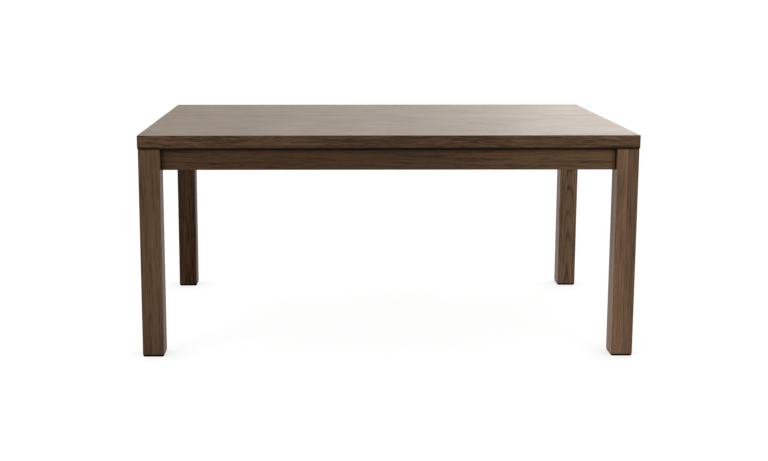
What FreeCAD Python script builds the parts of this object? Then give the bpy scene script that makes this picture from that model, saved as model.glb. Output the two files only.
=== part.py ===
import FreeCAD, Part
import math
import os

# Parsons dining table: a thick veneered top on four square legs, with aprons set back between them.
# Millimetres. The origin is on the floor under the centre, X runs along the length, the front is at -Y.

Vector = FreeCAD.Vector

# Overall sizes
table_length = 1676.0
table_depth = 1016.0
table_height = 762.0

# Top: a veneered panel with solid lippings, built up along its edges by strips
top_thickness = 46.0
veneer_thickness = 0.6
core_thickness = 24.0
lipping_width = 12.0
tongue_thickness = 8.0
tongue_depth = 6.0
strip_width = 90.0
top_arris_radius = 1.5
top_corner_radius = 1.5
top_under_chamfer = 3.0

# Legs
leg_side = 72.0
leg_inset = 2.0
leg_arris_radius = 1.5
leg_foot_chamfer = 1.0

# Foot pads
pad_thickness = 7.0
pad_inset = 1.0
pad_corner_cut = 3.0
pad_chamfer = 2.5
pad_screw_recess = 3.5

# Aprons
apron_height = 73.0
apron_thickness = 24.0
apron_setback = 18.0
apron_arris_radius = 1.5

# Centre rail, tenoned into the long aprons and notched under the build-up strips
rail_thickness = 22.0
rail_lift = 12.0
rail_arris_radius = 1.5
tenon_thickness = 10.0
tenon_length = 12.0
tenon_shoulder = 10.0

# Corner blocks, and the flats on the legs that face them
flat_cut = 18.0
flat_stop = 5.0
block_gap = 2.8
block_thickness = 28.0
block_height = 60.0
block_tip = 5.6

# Hanger bolts, with a washer and a nut on each
bolt_diameter = 8.0
bolt_bite = 42.0
bolt_point = 6.0
bolt_stub = 4.0
bolt_end_chamfer = 1.0
bolt_spacing = 32.0
washer_diameter = 20.0
washer_thickness = 1.6
nut_width = 13.0
nut_height = 6.5
nut_chamfer = 0.8

# Corner block screws
block_screw_diameter = 4.5
block_screw_head = 8.5
block_screw_head_height = 3.0
block_screw_seat = 12.0
block_screw_bite = 16.0
block_screw_spacing = 36.0

# Angle brackets that hold the top on the aprons
bracket_leaf = 25.0
bracket_width = 20.0
bracket_thickness = 2.0
bracket_bend_radius = 1.0
bracket_hole_distance = 15.0
bracket_end_distance = 150.0
brackets_per_half_long_apron = 2
brackets_per_half_short_apron = 1

# Small screws of the brackets and the foot pads
small_screw_diameter = 4.0
small_screw_head = 7.5
small_screw_head_height = 2.6
bracket_screw_bite = 14.0
pad_screw_bite = 22.0

# Flat facets around the small fasteners and their holes
bolt_facets = 12
nut_facets = 6
screw_facets = 8

# Clearances
joint_clearance = 0.1
bore_clearance = 0.1
bolt_passage_clearance = 0.5
head_clearance = 0.5
point_clearance = 2.0
cut_margin = 5.0
edge_tolerance = 0.01

# Heights
top_underside = table_height - top_thickness
core_top = table_height - veneer_thickness
core_bottom = core_top - core_thickness
panel_underside = core_bottom - veneer_thickness
apron_bottom = top_underside - apron_height
rail_bottom = apron_bottom + rail_lift
block_bottom = top_underside - block_height
block_middle = top_underside - block_height / 2
bolt_levels = [block_middle - bolt_spacing / 2, block_middle + bolt_spacing / 2]
block_screw_levels = [block_middle - block_screw_spacing / 2, block_middle + block_screw_spacing / 2]

# Distances from the centre of the table
half_length = table_length / 2
half_depth = table_depth / 2
core_half_length = half_length - lipping_width
core_half_depth = half_depth - lipping_width
strip_inner_x = core_half_length - strip_width
strip_inner_y = core_half_depth - strip_width
leg_outer_x = half_length - leg_inset
leg_outer_y = half_depth - leg_inset
leg_inner_x = leg_outer_x - leg_side
leg_inner_y = leg_outer_y - leg_side
apron_outer_x = leg_outer_x - apron_setback
apron_outer_y = leg_outer_y - apron_setback
apron_inner_x = apron_outer_x - apron_thickness
apron_inner_y = apron_outer_y - apron_thickness

# Corner joint, measured inwards along both aprons from the point where their inner faces would meet.
# A diagonal face is given by the sum of its two distances, which is the same all along it.
leg_reach = leg_side - apron_setback - apron_thickness
flat_sum = 2 * leg_reach - flat_cut
block_front_sum = flat_sum + block_gap * math.sqrt(2)
block_back_sum = block_front_sum + block_thickness * math.sqrt(2)
block_reach = block_back_sum - block_tip
block_screw_place = (block_front_sum + block_reach) / 2

X_AXIS = Vector(1, 0, 0)
Y_AXIS = Vector(0, 1, 0)
Z_AXIS = Vector(0, 0, 1)
INWARD = Vector(-1, -1, 0) / math.sqrt(2)

# Every corner piece is modelled at the back right corner and mirrored to the others
CORNERS = {
    "front_left": (-1, -1),
    "front_right": (1, -1),
    "back_left": (-1, 1),
    "back_right": (1, 1),
}


# Helpers

def span_box(x_low, x_high, y_low, y_high, z_low, z_high):
    corner = Vector(x_low, y_low, z_low)
    return Part.makeBox(x_high - x_low, y_high - y_low, z_high - z_low, corner)


def centred_box(half_x, half_y, z_low, z_high):
    return span_box(-half_x, half_x, -half_y, half_y, z_low, z_high)


def frame_of(half_x, half_y, width, z_low, z_high):
    inner = centred_box(half_x - width, half_y - width, z_low, z_high)
    return centred_box(half_x, half_y, z_low, z_high).cut(inner)


def prism(points, direction):
    return Part.Face(Part.makePolygon(points + points[:1])).extrude(direction)


def regular_polygon(diameter, sides):
    angles = [2 * math.pi * step / sides for step in range(sides)]
    return [Vector(math.cos(angle), math.sin(angle), 0) * (diameter / 2) for angle in angles]


def rod(diameter, length, sides):
    return prism(regular_polygon(diameter, sides), Z_AXIS * length)


def rod_across_flats(width, length, sides):
    return rod(width / math.cos(math.pi / sides), length, sides)


def spike(diameter, length, sides):
    points = regular_polygon(diameter, sides)
    base = Part.makePolygon(points + points[:1])
    return Part.makeLoft([base, Part.Vertex(0, 0, length)], True)


def runs_along(edge, axis):
    return edge.tangentAt(edge.FirstParameter).cross(axis).Length < edge_tolerance


def edges_along(edges, axis):
    return [edge for edge in edges if runs_along(edge, axis)]


def bottom_edges(shape):
    limit = shape.BoundBox.ZMin + edge_tolerance
    return [edge for edge in shape.Edges if edge.BoundBox.ZMax < limit]


def edges_through(shape, point):
    return [edge for edge in shape.Edges if (edge.CenterOfMass - point).Length < edge_tolerance]


def placed(shape, point, direction):
    copy = shape.copy()
    copy.Placement = FreeCAD.Placement(point, FreeCAD.Rotation(Z_AXIS, direction))
    return copy


def at_corner(shape, signs):
    if signs[0] < 0:
        shape = shape.mirror(Vector(), X_AXIS)
    if signs[1] < 0:
        shape = shape.mirror(Vector(), Y_AXIS)
    return shape


def at_all_corners(shapes):
    return Part.makeCompound([at_corner(shape, signs) for signs in CORNERS.values() for shape in shapes])


def both_sides(shapes, axis):
    return shapes + [shape.mirror(Vector(), axis) for shape in shapes]


def bolt_drill(clearance, depth, point, direction):
    return placed(rod_across_flats(bolt_diameter + 2 * clearance, depth, bolt_facets), point, direction)


def screw_drill(diameter, clearance, depth, point, direction):
    return placed(rod_across_flats(diameter + 2 * clearance, depth, screw_facets), point, direction)


def screw(diameter, length, head, head_height):
    taper = diameter
    shank = rod(diameter, length - taper, screw_facets)
    point = spike(diameter, taper, screw_facets).translated(Z_AXIS * (length - taper))
    cap = rod(head, head_height, screw_facets).translated(Z_AXIS * -head_height)
    cap = cap.makeChamfer(head_height / 2, bottom_edges(cap))
    return cap.fuse([shank, point])


def corner_point(along_x, along_y, z):
    return Vector(apron_inner_x - along_x, apron_inner_y - along_y, z)


def diagonal_point(corner_sum, z):
    return corner_point(corner_sum / 2, corner_sum / 2, z)


# Top

def edge_profile(half_width, point_at):
    lean = top_arris_radius * (1 - math.sqrt(0.5))
    shoulder = table_height - top_arris_radius
    crown = half_width - top_arris_radius
    foot = half_width - top_under_chamfer
    heel = top_underside + top_under_chamfer
    arcs = [
        [(half_width, shoulder), (half_width - lean, table_height - lean), (crown, table_height)],
        [(-crown, table_height), (lean - half_width, table_height - lean), (-half_width, shoulder)],
    ]
    lines = [
        [(crown, table_height), (-crown, table_height)],
        [(-half_width, shoulder), (-half_width, heel)],
        [(-half_width, heel), (-foot, top_underside)],
        [(-foot, top_underside), (foot, top_underside)],
        [(foot, top_underside), (half_width, heel)],
        [(half_width, heel), (half_width, shoulder)],
    ]
    curves = [Part.Arc(*(point_at(*point) for point in arc)) for arc in arcs]
    curves += [Part.LineSegment(*(point_at(*point) for point in line)) for line in lines]
    edges = Part.sortEdges([curve.toShape() for curve in curves])[0]
    return Part.Face(Part.Wire(edges))


def top_slab():
    block = centred_box(half_length, half_depth, top_underside, table_height)
    block = block.makeFillet(top_corner_radius, edges_along(block.Edges, Z_AXIS))
    lengthwise = edge_profile(half_depth, lambda y, z: Vector(-half_length, y, z))
    crosswise = edge_profile(half_length, lambda x, z: Vector(x, -half_depth, z))
    block = block.common(lengthwise.extrude(X_AXIS * table_length))
    return block.common(crosswise.extrude(Y_AXIS * table_depth))


def face_veneer(slab):
    return slab.common(centred_box(half_length, half_depth, core_top, table_height))


def edge_tongue(clearance):
    middle = (core_top + core_bottom) / 2
    half_height = tongue_thickness / 2 + clearance
    depth = tongue_depth + clearance
    return frame_of(core_half_length, core_half_depth, depth, middle - half_height, middle + half_height)


def panel_core():
    panel = centred_box(core_half_length, core_half_depth, core_bottom, core_top)
    return panel.cut(edge_tongue(joint_clearance))


def backing_veneer():
    return centred_box(core_half_length, core_half_depth, panel_underside, core_bottom)


def lipping_ring(slab):
    ring = slab.common(frame_of(half_length, half_depth, lipping_width, top_underside, core_top))
    return ring.fuse(edge_tongue(0)).removeSplitter()


def mitre_end(corner):
    reach = lipping_width + tongue_depth
    return tuple(value - math.copysign(reach, value) for value in corner)


def mitred_lipping(ring, start, end):
    outline = [start, end, mitre_end(end), mitre_end(start)]
    region = prism([Vector(x, y, top_underside) for x, y in outline], Z_AXIS * top_thickness)
    return ring.common(region)


def long_strip():
    low = Vector(-core_half_length, strip_inner_y, top_underside)
    strip = Part.makeBox(2 * core_half_length, strip_width, panel_underside - top_underside, low)
    return strip.cut(bracket_drills(long_bracket_places(), "strip"))


def short_strip():
    low = Vector(strip_inner_x, -strip_inner_y, top_underside)
    strip = Part.makeBox(strip_width, 2 * strip_inner_y, panel_underside - top_underside, low)
    return strip.cut(bracket_drills(short_bracket_places(), "strip"))


# Legs and foot pads

def leg():
    post = span_box(leg_inner_x, leg_outer_x, leg_inner_y, leg_outer_y, pad_thickness, top_underside)
    post = post.makeFillet(leg_arris_radius, edges_along(post.Edges, Z_AXIS))
    post = post.makeChamfer(leg_foot_chamfer, bottom_edges(post))
    pad_depth = pad_screw_length() + point_clearance
    bores = [screw_drill(small_screw_diameter, bore_clearance, pad_depth, pad_screw_seat(), Z_AXIS)]
    for level in bolt_levels:
        mouth = diagonal_point(flat_sum, level)
        bores.append(bolt_drill(bore_clearance, bolt_bite + point_clearance, mouth, -INWARD))
    return post.cut([bolt_flat()] + bores)


def bolt_flat():
    low = apron_bottom + flat_stop
    outside = leg_reach + cut_margin
    beside = flat_sum - outside
    outline = [(outside, beside), (outside, outside), (beside, outside)]
    return prism([corner_point(x, y, low) for x, y in outline], Z_AXIS * (top_underside - low))


def pad_screw_seat():
    return Vector((leg_inner_x + leg_outer_x) / 2, (leg_inner_y + leg_outer_y) / 2, pad_screw_recess)


def pad_screw_length():
    return pad_thickness - pad_screw_recess + pad_screw_bite


def foot_pad():
    side = leg_side - 2 * pad_inset
    low = Vector(leg_inner_x + pad_inset, leg_inner_y + pad_inset, 0)
    pad = Part.makeBox(side, side, pad_thickness, low)
    pad = pad.makeChamfer(pad_corner_cut, edges_along(pad.Edges, Z_AXIS))
    pad = pad.makeChamfer(pad_chamfer, bottom_edges(pad))
    passage = screw_drill(small_screw_diameter, bore_clearance, pad_thickness, pad_screw_seat(), Z_AXIS)
    recess = screw_drill(small_screw_head, head_clearance, pad_screw_recess, pad_screw_seat(), -Z_AXIS)
    return pad.cut([passage, recess])


def pad_screw():
    body = screw(small_screw_diameter, pad_screw_length(), small_screw_head, small_screw_head_height)
    return placed(body, pad_screw_seat(), Z_AXIS)


# Aprons and centre rail

def eased_board(board, axis, radius):
    return board.makeFillet(radius, edges_along(bottom_edges(board), axis))


def long_apron():
    board = span_box(-leg_inner_x, leg_inner_x, apron_inner_y, apron_outer_y, apron_bottom, top_underside)
    board = eased_board(board, X_AXIS, apron_arris_radius)
    mouths = [corner_point(block_screw_place, 0, level) for level in block_screw_levels]
    block_bores = [block_screw_bore(mouth, Y_AXIS) for mouth in mouths]
    bracket_bores = bracket_drills(long_bracket_places(), "apron")
    return board.cut(both_sides(block_bores, X_AXIS) + bracket_bores + [rail_tenon(joint_clearance)])


def short_apron():
    board = span_box(apron_inner_x, apron_outer_x, -leg_inner_y, leg_inner_y, apron_bottom, top_underside)
    board = eased_board(board, Y_AXIS, apron_arris_radius)
    mouths = [corner_point(0, block_screw_place, level) for level in block_screw_levels]
    block_bores = [block_screw_bore(mouth, X_AXIS) for mouth in mouths]
    bracket_bores = bracket_drills(short_bracket_places(), "apron")
    return board.cut(both_sides(block_bores, Y_AXIS) + bracket_bores)


def rail_tenon(clearance):
    half = tenon_thickness / 2 + clearance
    tip = apron_inner_y + tenon_length + clearance
    low = rail_bottom + tenon_shoulder - clearance
    high = top_underside - tenon_shoulder + clearance
    return span_box(-half, half, apron_inner_y, tip, low, high)


def centre_rail():
    beam = centred_box(rail_thickness / 2, apron_inner_y, rail_bottom, top_underside)
    beam = eased_board(beam, Y_AXIS, rail_arris_radius)
    crest = centred_box(rail_thickness / 2, strip_inner_y - joint_clearance, top_underside, panel_underside)
    return beam.fuse([crest] + both_sides([rail_tenon(0)], Y_AXIS)).removeSplitter()


# Knock-down corner joint

def block_screw_bore(mouth, direction):
    depth = block_screw_bite + point_clearance
    return screw_drill(block_screw_diameter, bore_clearance, depth, mouth, direction)


def block_screw_seats():
    into_long = [(corner_point(block_screw_place, block_screw_seat, z), Y_AXIS) for z in block_screw_levels]
    into_short = [(corner_point(block_screw_seat, block_screw_place, z), X_AXIS) for z in block_screw_levels]
    return into_long + into_short


def corner_block():
    outline = [
        (block_front_sum, 0),
        (block_reach, 0),
        (block_reach, block_tip),
        (block_tip, block_reach),
        (0, block_reach),
        (0, block_front_sum),
    ]
    block = prism([corner_point(x, y, block_bottom) for x, y in outline], Z_AXIS * block_height)
    passages = []
    for level in bolt_levels:
        mouth = diagonal_point(block_front_sum, level)
        passages.append(bolt_drill(bolt_passage_clearance, block_thickness, mouth, INWARD))
    for seat, direction in block_screw_seats():
        passages.append(screw_drill(block_screw_diameter, bore_clearance, block_screw_seat, seat, direction))
        passages.append(screw_drill(block_screw_head, head_clearance, block_back_sum, seat, -direction))
    return block.cut(passages)


def block_screws():
    length = block_screw_seat + block_screw_bite
    body = screw(block_screw_diameter, length, block_screw_head, block_screw_head_height)
    return [placed(body, *seat) for seat in block_screw_seats()]


def hanger_bolt_body():
    length = bolt_bite + block_gap + block_thickness + washer_thickness + nut_height + bolt_stub
    shank = rod(bolt_diameter, length - bolt_point, bolt_facets)
    shank = shank.makeChamfer(bolt_end_chamfer, bottom_edges(shank))
    point = spike(bolt_diameter, bolt_point, bolt_facets).translated(Z_AXIS * (length - bolt_point))
    return shank.fuse(point)


def hanger_bolts():
    body = hanger_bolt_body()
    reach = body.BoundBox.ZMax - bolt_bite
    ends = [diagonal_point(flat_sum, level) + INWARD * reach for level in bolt_levels]
    return [placed(body, end, -INWARD) for end in ends]


def bolt_washers():
    hole = bolt_drill(bolt_passage_clearance, washer_thickness, Vector(), Z_AXIS)
    body = rod(washer_diameter, washer_thickness, bolt_facets).cut(hole)
    return [placed(body, diagonal_point(block_back_sum, level), INWARD) for level in bolt_levels]


def bolt_nuts():
    hexagon = rod_across_flats(nut_width, nut_height, nut_facets)
    hexagon = hexagon.makeChamfer(nut_chamfer, bottom_edges(hexagon))
    body = hexagon.cut(bolt_drill(bore_clearance, nut_height, Vector(), Z_AXIS))
    reach = INWARD * (washer_thickness + nut_height)
    outer = [diagonal_point(block_back_sum, level) + reach for level in bolt_levels]
    return [placed(body, point, -INWARD) for point in outer]


# Angle brackets under the top, given by the heel of the angle and the direction out through the apron

def spread(count_per_half, half_run):
    steps = 2 * count_per_half - 1
    return [half_run * step / steps for step in range(-steps, steps + 1, 2)]


def long_bracket_places():
    offsets = spread(brackets_per_half_long_apron, leg_inner_x - bracket_end_distance)
    return [(Vector(x, apron_inner_y, top_underside), Y_AXIS) for x in offsets]


def short_bracket_places():
    offsets = spread(brackets_per_half_short_apron, leg_inner_y - bracket_end_distance)
    return [(Vector(apron_inner_x, y, top_underside), X_AXIS) for y in offsets]


def bracket_screw_seats(heel, outward):
    on_wall = heel - outward * bracket_thickness - Z_AXIS * bracket_hole_distance
    on_ceiling = heel - outward * bracket_hole_distance - Z_AXIS * bracket_thickness
    return {"apron": (on_wall, outward), "strip": (on_ceiling, Z_AXIS)}


def bracket_drills(places, target):
    depth = bracket_thickness + bracket_screw_bite + point_clearance
    seats = [bracket_screw_seats(*place)[target] for place in places]
    return [screw_drill(small_screw_diameter, bore_clearance, depth, *seat) for seat in seats]


def angle_bracket(heel, outward):
    along = Z_AXIS.cross(outward)
    start = heel - along * (bracket_width / 2)
    outline = [
        (0, 0),
        (0, bracket_leaf),
        (bracket_thickness, bracket_leaf),
        (bracket_thickness, bracket_thickness),
        (bracket_leaf, bracket_thickness),
        (bracket_leaf, 0),
    ]
    plate = prism([start - outward * away - Z_AXIS * down for away, down in outline], along * bracket_width)
    throat = heel - outward * bracket_thickness - Z_AXIS * bracket_thickness
    plate = plate.makeFillet(bracket_bend_radius, edges_through(plate, throat) + edges_through(plate, heel))
    holes = []
    for seat in bracket_screw_seats(heel, outward).values():
        holes.append(screw_drill(small_screw_diameter, bore_clearance, bracket_thickness, *seat))
    return plate.cut(holes)


def bracket_screws(heel, outward):
    length = bracket_thickness + bracket_screw_bite
    body = screw(small_screw_diameter, length, small_screw_head, small_screw_head_height)
    return [placed(body, *seat) for seat in bracket_screw_seats(heel, outward).values()]


# The whole table

def build_nodes():
    slab = top_slab()
    ring = lipping_ring(slab)
    far_corner = (half_length, half_depth)
    nodes = {
        "top_face_veneer": face_veneer(slab),
        "top_core": panel_core(),
        "top_backing_veneer": backing_veneer(),
        "top_lipping_back": mitred_lipping(ring, (-half_length, half_depth), far_corner),
        "top_lipping_right": mitred_lipping(ring, (half_length, -half_depth), far_corner),
        "top_strip_back": long_strip(),
        "top_strip_right": short_strip(),
        "apron_back": long_apron(),
        "apron_right": short_apron(),
        "centre_rail": centre_rail(),
    }
    for piece in ("top_lipping", "top_strip", "apron"):
        nodes[piece + "_front"] = nodes[piece + "_back"].mirror(Vector(), Y_AXIS)
        nodes[piece + "_left"] = nodes[piece + "_right"].mirror(Vector(), X_AXIS)
    for piece, shape in {"leg": leg(), "foot_pad": foot_pad(), "corner_block": corner_block()}.items():
        for corner, signs in CORNERS.items():
            nodes[piece + "_" + corner] = at_corner(shape, signs)
    nodes["hanger_bolts"] = at_all_corners(hanger_bolts())
    nodes["bolt_washers"] = at_all_corners(bolt_washers())
    nodes["bolt_nuts"] = at_all_corners(bolt_nuts())
    nodes["corner_block_screws"] = at_all_corners(block_screws())
    nodes["foot_pad_screws"] = at_all_corners([pad_screw()])
    brackets = []
    screws = []
    for places, axis in ((long_bracket_places(), Y_AXIS), (short_bracket_places(), X_AXIS)):
        for place in places:
            brackets += both_sides([angle_bracket(*place)], axis)
            screws += both_sides(bracket_screws(*place), axis)
    nodes["top_brackets"] = Part.makeCompound(brackets)
    nodes["top_bracket_screws"] = Part.makeCompound(screws)
    return nodes


os.makedirs("parts", exist_ok=True)
for name, shape in build_nodes().items():
    shape.exportStep("parts/" + name + ".step")
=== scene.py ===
import math
from dataclasses import dataclass

import bpy
from mathutils import Euler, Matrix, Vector


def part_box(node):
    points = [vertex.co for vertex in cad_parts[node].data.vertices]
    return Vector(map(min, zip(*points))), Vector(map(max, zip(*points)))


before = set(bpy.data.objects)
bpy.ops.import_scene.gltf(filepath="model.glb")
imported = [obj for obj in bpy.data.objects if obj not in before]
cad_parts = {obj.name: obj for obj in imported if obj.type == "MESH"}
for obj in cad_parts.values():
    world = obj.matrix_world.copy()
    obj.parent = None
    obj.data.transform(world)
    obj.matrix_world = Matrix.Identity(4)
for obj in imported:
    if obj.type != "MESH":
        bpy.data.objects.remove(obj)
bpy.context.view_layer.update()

# Looks of the dining table. Metres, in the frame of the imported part: X along the table, the front at -Y.

AXES = "XYZ"
WHITE = (1.0, 1.0, 1.0)

# Camera, placed as the photograph was taken
CAMERA_PLACE = (-0.184, -4.252, 1.245)
CAMERA_TILT_DOWN = math.radians(8.269)
CAMERA_TURN_RIGHT = math.radians(0.423)
CAMERA_LENS_MM = 53.29
CAMERA_SENSOR_MM = 36.0
CAMERA_SHIFT = (0.0546, -0.10)

# Floor: its own colour, the way the camera sees it, and the soft shadow close around the feet
FLOOR_HALF_SIZE = 30.0
FLOOR_ROUGHNESS = 0.9
FLOOR_COLOUR = (0.36, 0.36, 0.355)
FLOOR_SHOWN_COLOUR = (0.17, 0.17, 0.17)
FLOOR_SHOWN_GLOW = 0.84
CONTACT_SHADOW_REACH = 0.13
CONTACT_SHADOW_DEPTH = 0.20

# Sky: the light from each side, and the part of a unit direction on that axis over which it fades in
SKY_FRONT = 0.16
SKY_BACK = 0.95
SKY_BACK_FADE = (-0.75, 0.25)
SKY_OVERHEAD = 0.25
SKY_OVERHEAD_FADE = (0.2, 0.9)
SKY_LEFT = 0.80
SKY_LEFT_FADE = (-0.3, -0.9)
SKY_RIGHT = 0.80
SKY_RIGHT_FADE = (0.3, 0.9)
SKY_BACK_RIGHT = 1.22
SKY_BACK_RIGHT_FADES = ((-0.20, 0.36), (0.2, 0.8))
SWEEP_FADE = (-0.2, 0.3)


@dataclass
class Lamp:
    place: tuple
    target: tuple
    side: float
    power: float


LAMPS = {
    "key": Lamp(place=(2.9, 5.2, 2.7), target=(0.3, 0.0, 0.7), side=3.4, power=36.0),
    "right": Lamp(place=(2.1, -3.0, 2.3), target=(0.2, -0.4, 0.4), side=2.0, power=40.0),
    "left": Lamp(place=(-2.6, -2.2, 1.8), target=(-0.2, -0.4, 0.4), side=1.4, power=27.0),
}

# Stained oak: where the stain is even, where it runs red, in early wood and pores, and in pale late wood
OAK_EVEN = (0.150, 0.083, 0.0435)
OAK_RED = (0.172, 0.084, 0.043)
OAK_DARK = (0.052, 0.027, 0.0135)
OAK_PALE = (0.225, 0.132, 0.075)
OAK_ROUGHNESS = 0.42
SMEAR_ROUGHNESS = 0.10
PORE_ROUGHNESS = 0.15
WEAR_ROUGHNESS = 0.05
OAK_SPECULAR = 0.10
OAK_TOP_SPECULAR = 0.235
OAK_EDGE_SPECULAR = 0.05
TOP_TINT = (0.97, 1.065, 0.93)
EDGE_TINT = (1.0, 1.035, 1.08)
APRON_TINT = (1.0, 1.02, 1.02)
LEG_TINT = (0.98, 1.05, 1.08)
WARM_LEG_TINT = (1.0, 0.975, 0.95)

# Noise in oak: repeats per metre along the grain and across it
RING_WANDER = (1.3, 5.0)
RIPPLE = (9.0, 40.0)
BROAD = (2.6, 27.0)
BAND = (5.0, 120.0)
STREAK = (18.0, 300.0)
FINE = (45.0, 720.0)
PORE = (60.0, 1900.0)
REDNESS = (2.2, 60.0)
SMEAR = (4.0, 7.0)

# What that noise does to the wood's light and dark, and to its relief in metres
BROAD_SHARE = 0.8
BAND_SHARE = 0.7
STREAK_SHARE = 1.4
FINE_SHARE = 1.2
MIDDLE_LIGHT = 0.5
MEAN_EARLY_WOOD = 0.3
DARK_TO_EVEN = (0.0, 0.55)
EVEN_TO_PALE = (0.50, 1.15)
RED_FADE = (-0.08, 0.20)
PORE_FADE = (0.06, 0.20)
PORE_DEPTH = 0.55
PORES_IN_EARLY_WOOD = 0.7
PORES_ELSEWHERE = 0.3
STREAK_RELIEF = 0.5
FINE_RELIEF = 0.35
PORE_RELIEF = 0.8
OAK_BUMP = 0.35
WOOD_RELIEF_DEPTH = 0.0004

# Rings: a ripple in metres, a slow change of their widths, and the share of a ring that is early wood
RING_RIPPLE = 0.0025
RING_CHANGE = 0.45
RING_CHANGE_SHARE = 1.4
EARLY_WOOD_RISE = (0.0, 0.12)
EARLY_WOOD_FALL = (0.60, 0.15)

# A leg glued from two staves: how far their seam wanders, how soft it is, and the step in the grain there
SEAM_REPEATS = 2.0
SEAM_WANDER = 0.006
SEAM_HALF_WIDTH = 0.0015
STAVE_STEP = 1.9
SEED_STEP = 3.7

# Wear along the arrises, which also paints a highlight on them
WEAR_AND_HIGHLIGHT_WIDTH = 0.004
WEAR_AND_HIGHLIGHT_WAVES = 0.004
WEAR_AND_HIGHLIGHT_INSET = 0.0012

# Painted shade, near black, where the top lies on the legs and aprons, and where the aprons meet the legs:
# it stands in for the shadow lines of those joints
JOINT_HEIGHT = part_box("apron_front")[1].z
LEG_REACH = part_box("leg_front_left")[1].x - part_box("top_lipping_front")[0].x
PAINTED_JOINT_SHADE = (0.0095, 0.0052, 0.003)
SHADE_RAGGEDNESS = 0.002
SHADE_UNEVENNESS = 0.7
SHADE_CORE_SHARE = 0.4
SHADE_CORE_DEPTH = 0.66
SHADE_HALO_WIDTHS = 2.4
SHADE_HALO_DEPTH = 0.26
END_SHADE_CORE_DEPTH = 0.55
END_SHADE_HALO_WIDTHS = 3.8
END_SHADE_HALO_DEPTH = 0.40
SHADE_GROWTH_OVER_LEG = 0.45
LEG_EDGE_HALF_WIDTH = 0.002

# Wood and board without stain, for the pieces that only show from below: noise in repeats per metre
RAW_STREAK = (6.0, 170.0)
RAW_FLECK = (90.0, 900.0)
RAW_BROAD = (2.0, 18.0)
RAW_STREAK_SHARE = 1.2
RAW_FLECK_SHARE = 0.5
RAW_FLECK_ROUGHNESS = 0.15
RAW_STREAK_RELIEF = 0.6
RAW_FLECK_RELIEF = 0.4
RAW_BUMP = 0.3
RAIL_PALE = (0.47, 0.33, 0.20)
RAIL_DARK = (0.30, 0.19, 0.105)
RAIL_ROUGHNESS = 0.62
BLOCK_PALE = (0.50, 0.35, 0.21)
BLOCK_DARK = (0.34, 0.22, 0.12)
BLOCK_ROUGHNESS = 0.60
CORE_CHIPS = (240.0, 240.0, 240.0)
CORE_CLOUDS = (9.0, 9.0, 9.0)
CORE_CHIP_SHARE = 1.3
CORE_CLOUD_SHARE = 0.8
CORE_CHIP_ROUGHNESS = 0.2
CORE_BUMP = 0.25
CORE_PALE = (0.42, 0.30, 0.19)
CORE_DARK = (0.27, 0.18, 0.105)
CORE_ROUGHNESS = 0.72

# Metal and plastic: noise in repeats per metre, relief in metres
ZINC_SPANGLE = (420.0, 420.0, 420.0)
ZINC_TARNISH = (60.0, 60.0, 60.0)
ZINC_SPANGLE_SHARE = 0.8
ZINC_TARNISH_SHARE = 1.2
ZINC_SPANGLE_ROUGHNESS = 0.25
ZINC_TARNISH_ROUGHNESS = 0.2
ZINC_BUMP = 0.15
ZINC_RELIEF_DEPTH = 0.0002
ZINC_BRIGHT = (0.62, 0.63, 0.62)
ZINC_DULL = (0.36, 0.36, 0.35)
ZINC_ROUGHNESS = 0.34
PLASTIC_MOULD = (900.0, 900.0, 900.0)
PLASTIC_DUST = (45.0, 45.0, 120.0)
PLASTIC_DUST_SHARE = 1.2
PLASTIC_MOULD_SHARE = 0.5
PLASTIC_SCUFF_FADE = (0.05, 0.45)
PLASTIC_MOULD_ROUGHNESS = 0.2
PLASTIC_DUST_ROUGHNESS = 0.2
PLASTIC_BUMP = 0.3
PLASTIC_RELIEF_DEPTH = 0.0003
PLASTIC_CLEAN = (0.0035, 0.0032, 0.0032)
PLASTIC_DUSTY = (0.013, 0.012, 0.011)
PLASTIC_ROUGHNESS = 0.60


# Shader arithmetic

class Wire:
    """A number that runs from one shader node to the next."""

    def __init__(self, tree, socket):
        self.tree = tree
        self.socket = socket

    def math(self, operation, *others):
        node = self.tree.nodes.new("ShaderNodeMath")
        node.operation = operation
        for socket, value in zip(node.inputs, (self,) + others):
            feed(socket, value)
        return Wire(self.tree, node.outputs[0])

    def __add__(self, other):
        return self.math("ADD", other)

    def __sub__(self, other):
        return self.math("SUBTRACT", other)

    def __mul__(self, other):
        return self.math("MULTIPLY", other)

    def __truediv__(self, other):
        return self.math("DIVIDE", other)

    def absolute(self):
        return self.math("ABSOLUTE")

    def fraction(self):
        return self.math("FRACT")

    def higher(self, other):
        return self.math("MAXIMUM", other)

    def ramp(self, start, end):
        """0 at start, 1 at end and smooth in between. The end may be the lower of the two."""
        node = self.tree.nodes.new("ShaderNodeMapRange")
        node.interpolation_type = "SMOOTHSTEP"
        for name, value in (("Value", self), ("From Min", start), ("From Max", end)):
            feed(node.inputs[name], value)
        return Wire(self.tree, node.outputs["Result"])


def feed(socket, value):
    if isinstance(value, Wire):
        value.tree.links.new(value.socket, socket)
    else:
        socket.default_value = value


def colour(values):
    return (*values, 1.0)


def combined(tree, x, y, z):
    node = tree.nodes.new("ShaderNodeCombineXYZ")
    for socket, value in zip(node.inputs, (x, y, z)):
        feed(socket, value)
    return Wire(tree, node.outputs[0])


def noise(tree, x, y, z, detail=2.0):
    """Noise about 0, one repeat for each unit of x, y and z."""
    node = tree.nodes.new("ShaderNodeTexNoise")
    feed(node.inputs["Vector"], combined(tree, x, y, z))
    node.inputs["Scale"].default_value = 1.0
    node.inputs["Detail"].default_value = detail
    return Wire(tree, node.outputs["Fac"]) - 0.5


def blend(tree, share, first, second, mode="MIX"):
    node = tree.nodes.new("ShaderNodeMix")
    node.data_type = "RGBA"
    node.blend_type = mode
    feed(node.inputs["Factor"], share)
    for name, value in (("A", first), ("B", second)):
        socket = [s for s in node.inputs if s.name == name and s.type == "RGBA"][0]
        feed(socket, value)
    return Wire(tree, [s for s in node.outputs if s.type == "RGBA"][0])


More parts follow.
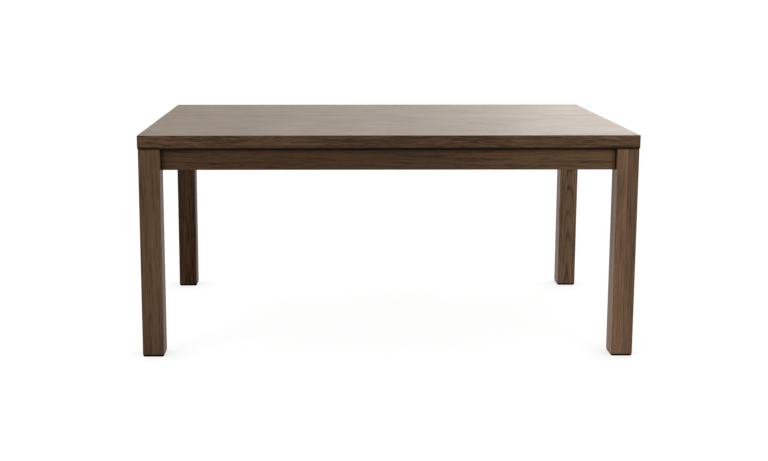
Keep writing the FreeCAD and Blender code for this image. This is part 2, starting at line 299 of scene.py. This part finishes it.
def split_axes(tree, output):
    """The three parts of a texture coordinate."""
    coordinates = tree.nodes.new("ShaderNodeTexCoord")
    split = tree.nodes.new("ShaderNodeSeparateXYZ")
    tree.links.new(coordinates.outputs[output], split.inputs[0])
    return [Wire(tree, split.outputs[axis]) for axis in AXES]


def place_noise(tree, repeats, detail=2.0):
    """Noise in an object, with its repeats per metre on each axis."""
    axes = split_axes(tree, "Object")
    return noise(tree, *[axis * count for axis, count in zip(axes, repeats)], detail)


def light_path(tree, *names):
    """1 for a ray of any of the named kinds."""
    node = tree.nodes.new("ShaderNodeLightPath")
    total = Wire(tree, node.outputs[names[0]])
    for name in names[1:]:
        total = total.higher(Wire(tree, node.outputs[name]))
    return total


def new_material(name):
    material = bpy.data.materials.new(name)
    material.use_nodes = True
    tree = material.node_tree
    return material, tree, tree.nodes["Principled BSDF"]


def add_bump(tree, shader, height, strength, distance):
    node = tree.nodes.new("ShaderNodeBump")
    node.inputs["Strength"].default_value = strength
    node.inputs["Distance"].default_value = distance
    feed(node.inputs["Height"], height)
    tree.links.new(node.outputs["Normal"], shader.inputs["Normal"])


# Stained oak

@dataclass
class Board:
    """How one board of stained oak looks. A tone of 1 is the plain stain, and lengths are in metres."""

    grain: str                   # axis along which the grain runs
    seed: float                  # place in the noise, so that no two boards match
    tones: tuple                 # tone at the low end, in the middle and at the high end of that axis
    tint: tuple
    pith: tuple = (0.05, 0.16)   # centre of the rings, across and through the board from its own middle
    run_out: tuple = (0.004, 0.0)    # slope of the rings against the board's length
    sway: float = 0.006          # how far the rings wander
    ring_width: float = 0.0035
    ring_share: float = 0.3      # how dark the early wood is
    broad_length: float = 1.0    # length of the broad changes of tone, as a share of the usual one
    streak_length: float = 1.0   # the same for the streaks and pores
    contrast: float = 1.0
    red_share: float = 1.0
    wear_and_highlight_share: float = 0.30
    back_tone: float = 1.0       # tone of the far side against the near side
    second_stave: tuple = None   # where a second stave begins across the board, and its tone
    shade_under_top_width: float = 0.0           # width of the painted shade in the joint under the top
    wider_shade_over_leg: float = 0.0        # length at each end that lies on a leg, where that painted shade is wider
    end_shade_width: float = 0.0       # width of the painted shade at the board's ends
    specular: float = OAK_SPECULAR


class Grain:
    """Place in a board, from its middle: along the grain, across it and through it."""

    def __init__(self, tree, node, grain):
        axes = split_axes(tree, "Object")
        low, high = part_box(node)
        centre = (low + high) / 2
        order = grain_order(grain)
        self.tree = tree
        self.height = axes[2]
        self.along, self.across, self.through = [axes[i] - centre[i] for i in order]
        self.half_length, self.half_width, self.half_depth = [(high[i] - low[i]) / 2 for i in order]

    def noise(self, along, repeats, detail=2.0):
        lengthwise, crosswise = repeats
        across, through = self.across * crosswise, self.through * crosswise
        return noise(self.tree, along * lengthwise, across, through, detail)


def grain_order(grain):
    """Axis numbers: first the one along the grain, then the other two."""
    first = AXES.index(grain)
    return [first] + [i for i in range(3) if i != first]


def beyond_seam(at, place, seam):
    """1 in the second stave of a glued leg, 0 in the first."""
    wandering = at.across + noise(at.tree, place * SEAM_REPEATS, 0.0, 0.0) * SEAM_WANDER
    return wandering.ramp(seam - SEAM_HALF_WIDTH, seam + SEAM_HALF_WIDTH)


def early_wood(at, place, ripple, board):
    """1 in the open early wood of each ring. The rings are cylinders about a pith."""
    wander = at.noise(place, RING_WANDER)
    from_pith_a = at.across - board.pith[0] + at.along * board.run_out[0]
    from_pith_b = at.through - board.pith[1] + at.along * board.run_out[1]
    radius = (from_pith_a * from_pith_a + from_pith_b * from_pith_b).math("SQRT")
    age = (radius + wander * board.sway + ripple * RING_RIPPLE) / board.ring_width
    ring = (age + noise(at.tree, age * RING_CHANGE, 0.0, 0.0) * RING_CHANGE_SHARE).fraction()
    return ring.ramp(*EARLY_WOOD_RISE) * ring.ramp(*EARLY_WOOD_FALL)


def arris_wear_and_highlight(at, ripple):
    """1 on the long edges of a board, falling to 0 a little way from them: paled there as wear and as a
    painted highlight.
    """
    from_side = at.across.absolute() * -1.0 + at.half_width
    from_face = at.through.absolute() * -1.0 + at.half_depth
    unevenness = ripple * WEAR_AND_HIGHLIGHT_WAVES + WEAR_AND_HIGHLIGHT_INSET
    return (from_side.higher(from_face) + unevenness).ramp(WEAR_AND_HIGHLIGHT_WIDTH, 0.0)


def board_tone(at, beyond, board):
    """Tone along a board, from its near to its far side and in its second stave."""
    first, middle, last = board.tones
    to_first = at.along.ramp(0.0, -at.half_length)
    to_last = at.along.ramp(0.0, at.half_length)
    tone = to_first * (first - middle) + to_last * (last - middle) + middle
    tone = tone * (at.through.ramp(-at.half_depth, at.half_depth) * (board.back_tone - 1.0) + 1.0)
    if board.second_stave:
        tone = tone * (beyond * (board.second_stave[1] - 1.0) + 1.0)
    return tone


def shade_painted_under_top(at, ripple, broad, board):
    """Share of painted shade near the height at which the top lies on the frame: it stands in for the
    shadow line under the top.
    """
    distance = (at.height - JOINT_HEIGHT).absolute()
    if board.wider_shade_over_leg:
        leg_edge = at.half_length - board.wider_shade_over_leg
        on_leg = at.along.absolute().ramp(leg_edge - LEG_EDGE_HALF_WIDTH, leg_edge + LEG_EDGE_HALF_WIDTH)
        distance = distance / (on_leg * SHADE_GROWTH_OVER_LEG + 1.0)
    distance = distance + ripple * SHADE_RAGGEDNESS
    core = distance.ramp(board.shade_under_top_width, board.shade_under_top_width * SHADE_CORE_SHARE)
    halo = distance.ramp(board.shade_under_top_width * SHADE_HALO_WIDTHS, 0.0)
    shade_share = core * SHADE_CORE_DEPTH + halo * SHADE_HALO_DEPTH
    return shade_share * (broad * SHADE_UNEVENNESS + 1.0)


def shade_painted_at_ends(at, ripple, board):
    """Share of painted shade near the ends of a board: it stands in for the shadow where an apron meets a
    leg.
    """
    distance = at.along.absolute() * -1.0 + at.half_length + ripple * SHADE_RAGGEDNESS
    core = distance.ramp(board.end_shade_width, board.end_shade_width * SHADE_CORE_SHARE)
    halo = distance.ramp(board.end_shade_width * END_SHADE_HALO_WIDTHS, 0.0)
    return core * END_SHADE_CORE_DEPTH + halo * END_SHADE_HALO_DEPTH


def oak(name, node, board):
    """Stained oak with rings, streaks, pores, arrises paled by wear and a painted highlight, and painted
    shade in its joints.
    """
    material, tree, shader = new_material(name)
    at = Grain(tree, node, board.grain)
    place = at.along + board.seed * SEED_STEP
    beyond = None
    if board.second_stave:
        beyond = beyond_seam(at, place, board.second_stave[0])
        place = place + beyond * STAVE_STEP

    ripple = at.noise(place, RIPPLE)
    early = early_wood(at, place, ripple, board)
    broad = at.noise(place / board.broad_length, BROAD)
    band = at.noise(place, BAND)
    drawn = place / board.streak_length
    streak = at.noise(drawn, STREAK, detail=3.0)
    fine = at.noise(drawn, FINE)
    pores = at.noise(drawn, PORE).ramp(*PORE_FADE) * (early * PORES_IN_EARLY_WOOD + PORES_ELSEWHERE)
    wear_and_highlight = arris_wear_and_highlight(at, ripple)

    figure = band * BAND_SHARE + streak * STREAK_SHARE + fine * FINE_SHARE + broad * BROAD_SHARE
    middle_light = MIDDLE_LIGHT + board.ring_share * MEAN_EARLY_WOOD
    light = figure * board.contrast - early * board.ring_share + middle_light
    reddish = at.noise(place, REDNESS).ramp(*RED_FADE) * board.red_share
    even = blend(tree, reddish, colour(OAK_EVEN), colour(OAK_RED))
    dark_to_even = blend(tree, light.ramp(*DARK_TO_EVEN), colour(OAK_DARK), even)
    to_pale = blend(tree, light.ramp(*EVEN_TO_PALE), dark_to_even, colour(OAK_PALE))
    with_pores = blend(tree, pores * PORE_DEPTH, to_pale, colour(OAK_DARK))
    # The arrises are paled, partly as wear and partly as a painted highlight
    worn_and_highlit = blend(tree, wear_and_highlight * board.wear_and_highlight_share, with_pores, colour(OAK_PALE))

    tone = board_tone(at, beyond, board)
    stain_and_painted_shade = blend(tree, 1.0, worn_and_highlit, combined(tree, *[tone * part for part in board.tint]), mode="MULTIPLY")
    # Painted shade: the colour darkens to near black along the joint under the top, standing in for its
    # shadow line
    if board.shade_under_top_width:
        stain_and_painted_shade = blend(tree, shade_painted_under_top(at, ripple, broad, board), stain_and_painted_shade, colour(PAINTED_JOINT_SHADE))
    # Painted shadow: the colour darkens to near black at the ends, where an apron meets a leg
    if board.end_shade_width:
        stain_and_painted_shade = blend(tree, shade_painted_at_ends(at, ripple, board), stain_and_painted_shade, colour(PAINTED_JOINT_SHADE))
    feed(shader.inputs["Base Color"], stain_and_painted_shade)

    smear = at.noise(at.along + board.seed / SMEAR[0], SMEAR)
    dullness = smear * SMEAR_ROUGHNESS + pores * PORE_ROUGHNESS + wear_and_highlight * WEAR_ROUGHNESS
    feed(shader.inputs["Roughness"], dullness + OAK_ROUGHNESS)
    shader.inputs["Specular IOR Level"].default_value = board.specular
    relief = streak * STREAK_RELIEF + fine * FINE_RELIEF - pores * PORE_RELIEF
    add_bump(tree, shader, relief, OAK_BUMP, WOOD_RELIEF_DEPTH)
    return material


# Plain materials

def raw_wood(name, grain, pale, dark, roughness):
    """Planed wood without stain."""
    material, tree, shader = new_material(name)
    axes = split_axes(tree, "Object")
    along, across, through = [axes[i] for i in grain_order(grain)]

    def grain_noise(repeats, detail=2.0):
        lengthwise, crosswise = repeats
        return noise(tree, along * lengthwise, across * crosswise, through * crosswise, detail)

    streak = grain_noise(RAW_STREAK, detail=3.0)
    fleck = grain_noise(RAW_FLECK)
    light = streak * RAW_STREAK_SHARE + grain_noise(RAW_BROAD) + fleck * RAW_FLECK_SHARE + MIDDLE_LIGHT
    feed(shader.inputs["Base Color"], blend(tree, light.ramp(0.0, 1.0), colour(dark), colour(pale)))
    feed(shader.inputs["Roughness"], fleck * RAW_FLECK_ROUGHNESS + roughness)
    relief = streak * RAW_STREAK_RELIEF + fleck * RAW_FLECK_RELIEF
    add_bump(tree, shader, relief, RAW_BUMP, WOOD_RELIEF_DEPTH)
    return material


def fibre_board(name):
    material, tree, shader = new_material(name)
    chips = place_noise(tree, CORE_CHIPS, detail=4.0)
    clouds = place_noise(tree, CORE_CLOUDS)
    shade = (chips * CORE_CHIP_SHARE + clouds * CORE_CLOUD_SHARE + MIDDLE_LIGHT).ramp(0.0, 1.0)
    feed(shader.inputs["Base Color"], blend(tree, shade, colour(CORE_DARK), colour(CORE_PALE)))
    feed(shader.inputs["Roughness"], chips * CORE_CHIP_ROUGHNESS + CORE_ROUGHNESS)
    add_bump(tree, shader, chips, CORE_BUMP, WOOD_RELIEF_DEPTH)
    return material


def zinc_steel(name):
    material, tree, shader = new_material(name)
    spangle = place_noise(tree, ZINC_SPANGLE, detail=3.0)
    tarnish = place_noise(tree, ZINC_TARNISH)
    shade = (spangle * ZINC_SPANGLE_SHARE + tarnish * ZINC_TARNISH_SHARE + MIDDLE_LIGHT).ramp(0.0, 1.0)
    feed(shader.inputs["Base Color"], blend(tree, shade, colour(ZINC_DULL), colour(ZINC_BRIGHT)))
    shader.inputs["Metallic"].default_value = 1.0
    dullness = spangle * ZINC_SPANGLE_ROUGHNESS + tarnish * ZINC_TARNISH_ROUGHNESS
    feed(shader.inputs["Roughness"], dullness + ZINC_ROUGHNESS)
    add_bump(tree, shader, spangle, ZINC_BUMP, ZINC_RELIEF_DEPTH)
    return material


def black_plastic(name):
    material, tree, shader = new_material(name)
    mould = place_noise(tree, PLASTIC_MOULD, detail=3.0)
    dust = place_noise(tree, PLASTIC_DUST)
    scuff = (dust * PLASTIC_DUST_SHARE + mould * PLASTIC_MOULD_SHARE).ramp(*PLASTIC_SCUFF_FADE)
    feed(shader.inputs["Base Color"], blend(tree, scuff, colour(PLASTIC_CLEAN), colour(PLASTIC_DUSTY)))
    dullness = mould * PLASTIC_MOULD_ROUGHNESS + dust * PLASTIC_DUST_ROUGHNESS
    feed(shader.inputs["Roughness"], dullness + PLASTIC_ROUGHNESS)
    shader.inputs["Specular IOR Level"].default_value = 0.0
    add_bump(tree, shader, mould, PLASTIC_BUMP, PLASTIC_RELIEF_DEPTH)
    return material


# Dress the imported pieces

# The lippings, aprons and legs get painted shade along the joint under the top
def lipping(grain, seed, tones):
    return Board(grain, seed, tones, EDGE_TINT, contrast=1.3, shade_under_top_width=0.0068, wider_shade_over_leg=LEG_REACH,
                 specular=OAK_EDGE_SPECULAR)


# Aprons also get painted shadow at their ends, where they meet the legs
def apron(grain, seed, tones, pith_across):
    return Board(grain, seed, tones, APRON_TINT, (pith_across, 0.02), ring_share=0.12, contrast=0.68,
                 wear_and_highlight_share=0.05, shade_under_top_width=0.0085, end_shade_width=0.006, specular=OAK_EDGE_SPECULAR)


def leg(seed, tones, tint, **figure):
    return Board("Z", seed, tones, tint, streak_length=2.0, shade_under_top_width=0.003, **figure)


BOARDS = {
    # Painted light: the top is toned lighter towards its right end, standing in for the stronger light from
    # the right
    "top_face_veneer": Board("X", 1, (0.85, 0.90, 1.10), TOP_TINT, (0.10, -0.30), run_out=(0.02, 0.0),
                             sway=0.015, ring_width=0.006, ring_share=0.25, broad_length=0.45,
                             contrast=1.2, red_share=0.25, specular=OAK_TOP_SPECULAR),
    # The front lipping and front apron are toned lighter towards their right ends, partly as painted light
    # from the right
    "top_lipping_front": lipping("X", 20, (0.66, 0.425, 0.69)),
    "top_lipping_back": lipping("X", 3, (0.62, 0.55, 0.64)),
    "top_lipping_left": lipping("Y", 4, (0.60, 0.64, 0.62)),
    "top_lipping_right": lipping("Y", 5, (0.62, 0.66, 0.62)),
    "apron_front": apron("X", 21, (0.51, 0.45, 0.835), 0.14),
    "apron_back": apron("X", 7, (0.58, 0.52, 0.62), -0.14),
    "apron_left": apron("Y", 8, (0.58, 0.60, 0.58), 0.14),
    "apron_right": apron("Y", 9, (0.62, 0.60, 0.58), -0.14),
    "leg_front_left": leg(10, (0.64, 0.81, 0.71), LEG_TINT, pith=(0.18, 0.06), contrast=0.9, specular=0.06),
    "leg_front_right": leg(11, (1.41, 1.14, 1.05), LEG_TINT, pith=(-0.20, 0.03), contrast=0.8,
                           second_stave=(-0.001, 0.77), back_tone=0.80, specular=0.12),
    # Painted shade: this leg's front is toned dark as the shade it stands in, and its tone rises 1.9 times
    # towards its back
    "leg_back_left": leg(12, (0.42, 0.45, 0.48), WARM_LEG_TINT, pith=(0.16, 0.10), contrast=1.5,
                         back_tone=1.9, specular=0.03),
    "leg_back_right": leg(13, (1.06, 1.08, 1.26), LEG_TINT, pith=(0.0, 0.0), run_out=(0.01, -0.05),
                          sway=0.018, ring_width=0.005, ring_share=0.45, second_stave=(0.013, 1.22),
                          back_tone=0.80, specular=0.14),
}


def dress(node, material):
    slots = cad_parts[node].data.materials
    slots.clear()
    slots.append(material)


def nodes_named(start):
    """The pieces whose name starts so, apart from their screws."""
    return [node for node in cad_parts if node.startswith(start) and "screws" not in node]


def dress_table():
    for node, board in BOARDS.items():
        dress(node, oak("oak_" + node, node, board))

    shared = {
        raw_wood("raw_wood_x", "X", RAIL_PALE, RAIL_DARK, RAIL_ROUGHNESS): [
            "top_strip_front", "top_strip_back", "top_backing_veneer"],
        raw_wood("raw_wood_y", "Y", RAIL_PALE, RAIL_DARK, RAIL_ROUGHNESS): [
            "top_strip_left", "top_strip_right", "centre_rail"],
        raw_wood("raw_wood_z", "Z", BLOCK_PALE, BLOCK_DARK, BLOCK_ROUGHNESS): nodes_named("corner_block_"),
        fibre_board("fibre_board"): ["top_core"],
        zinc_steel("zinc_steel"): [
            "hanger_bolts", "bolt_washers", "bolt_nuts", "corner_block_screws", "foot_pad_screws",
            "top_brackets", "top_bracket_screws"],
        black_plastic("black_plastic"): nodes_named("foot_pad_"),
    }
    for material, nodes in shared.items():
        for node in nodes:
            dress(node, material)


# Studio: floor, sky, lamps and camera

def matt(shader, base):
    shader.inputs["Base Color"].default_value = colour(base)
    shader.inputs["Roughness"].default_value = FLOOR_ROUGHNESS
    shader.inputs["Specular IOR Level"].default_value = 0.0


def floor_material():
    """Pale floor. The camera sees it lifted to white, with the table's soft shadow left on it."""
    material, tree, shader = new_material("floor")
    matt(shader, FLOOR_COLOUR)
    shown = tree.nodes.new("ShaderNodeBsdfPrincipled")
    matt(shown, FLOOR_SHOWN_COLOUR)
    shown.inputs["Emission Color"].default_value = colour(WHITE)
    contact = tree.nodes.new("ShaderNodeAmbientOcclusion")
    contact.inputs["Distance"].default_value = CONTACT_SHADOW_REACH
    open_share = Wire(tree, contact.outputs["AO"])
    lost = FLOOR_SHOWN_GLOW * CONTACT_SHADOW_DEPTH
    feed(shown.inputs["Emission Strength"], open_share * lost + (FLOOR_SHOWN_GLOW - lost))
    mix = tree.nodes.new("ShaderNodeMixShader")
    feed(mix.inputs[0], light_path(tree, "Is Camera Ray", "Is Glossy Ray", "Is Transmission Ray"))
    tree.links.new(shader.outputs[0], mix.inputs[1])
    tree.links.new(shown.outputs[0], mix.inputs[2])
    tree.links.new(mix.outputs[0], tree.nodes["Material Output"].inputs["Surface"])
    return material


def add_floor():
    reach = FLOOR_HALF_SIZE
    mesh = bpy.data.meshes.new("floor")
    corners = [(-reach, -reach, 0.0), (reach, -reach, 0.0), (reach, reach, 0.0), (-reach, reach, 0.0)]
    mesh.from_pydata(corners, [], [(0, 1, 2, 3)])
    mesh.materials.append(floor_material())
    floor = bpy.data.objects.new("floor", mesh)
    bpy.context.scene.collection.objects.link(floor)


def add_sky():
    """A bright sweep behind the table, pale sides and a dim studio behind the camera. It looks white."""
    world = bpy.data.worlds.new("studio")
    bpy.context.scene.world = world
    world.use_nodes = True
    tree = world.node_tree
    background = tree.nodes["Background"]
    background.inputs["Color"].default_value = colour(WHITE)
    right, behind, up = split_axes(tree, "Generated")
    studio = behind.ramp(*SKY_BACK_FADE) * (SKY_BACK - SKY_FRONT) + SKY_FRONT
    studio = studio + up.ramp(*SKY_OVERHEAD_FADE) * SKY_OVERHEAD
    rightwards, backwards = SKY_BACK_RIGHT_FADES
    studio = studio + right.ramp(*rightwards) * behind.ramp(*backwards) * SKY_BACK_RIGHT
    studio = studio + right.ramp(*SKY_LEFT_FADE) * SKY_LEFT + right.ramp(*SKY_RIGHT_FADE) * SKY_RIGHT
    sweep = light_path(tree, "Is Glossy Ray") * behind.ramp(*SWEEP_FADE)
    seen = light_path(tree, "Is Camera Ray", "Is Transmission Ray").higher(sweep)
    feed(background.inputs["Strength"], studio.higher(seen))


def add_lamp(name, lamp):
    data = bpy.data.lights.new(name, "AREA")
    data.energy = lamp.power
    data.size = lamp.side
    holder = bpy.data.objects.new(name, data)
    bpy.context.scene.collection.objects.link(holder)
    holder.location = lamp.place
    direction = Vector(lamp.target) - Vector(lamp.place)
    holder.rotation_euler = direction.to_track_quat("-Z", "Y").to_euler()


def add_camera():
    data = bpy.data.cameras.new("camera")
    data.sensor_width = CAMERA_SENSOR_MM
    data.lens = CAMERA_LENS_MM
    data.shift_x, data.shift_y = CAMERA_SHIFT
    camera = bpy.data.objects.new("camera", data)
    bpy.context.scene.collection.objects.link(camera)
    camera.location = CAMERA_PLACE
    camera.rotation_euler = Euler((math.pi / 2 - CAMERA_TILT_DOWN, 0.0, -CAMERA_TURN_RIGHT))
    bpy.context.scene.camera = camera


dress_table()
add_floor()
add_sky()
for lamp_name, lamp in LAMPS.items():
    add_lamp(lamp_name, lamp)
add_camera()
bpy.context.scene.view_settings.view_transform = "Standard"
